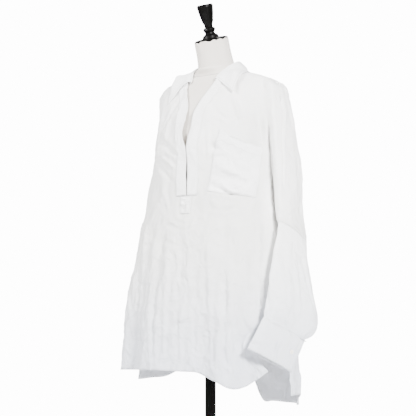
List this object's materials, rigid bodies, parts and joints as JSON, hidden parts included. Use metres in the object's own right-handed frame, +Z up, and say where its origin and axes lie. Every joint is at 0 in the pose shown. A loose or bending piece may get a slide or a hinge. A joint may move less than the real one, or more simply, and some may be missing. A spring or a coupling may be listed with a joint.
{
  "type": "blouse on a dress form",
  "caption": "Loose long-sleeved pullover blouse with folded collar, open half placket and chest pocket, worn by a limbless dress form on a pole stand.",
  "frame": {"origin": "centre of the underside of the stand's base", "axes": "+Z up along the pole, -Y the way the wearer faces, +X the wearer's left"},
  "size_m": [0.5978, 0.36, 1.5885],
  "materials": {
    "white_linen": "matte open weave",
    "form_fabric": "matte fine weave",
    "black_lacquer": "satin",
    "button_shell": "polished"
  },
  "bodies": {
    "root": {"front": "white_linen", "back": "white_linen", "placket_left": "white_linen", "placket_right": "white_linen", "placket_box": "white_linen", "pocket": "white_linen", "sleeve_left": "white_linen", "sleeve_right": "white_linen", "cuff_left": "white_linen", "cuff_right": "white_linen", "collar_stand": "white_linen", "collar_leaf": "white_linen", "button_cuff_left": "button_shell", "button_cuff_right": "button_shell", "button_placket": "button_shell", "form_torso": "form_fabric", "form_neck_cap": "black_lacquer", "form_finial": "black_lacquer", "stand_pole": "black_lacquer", "stand_base": "black_lacquer"}
  },
  "joints": []
}
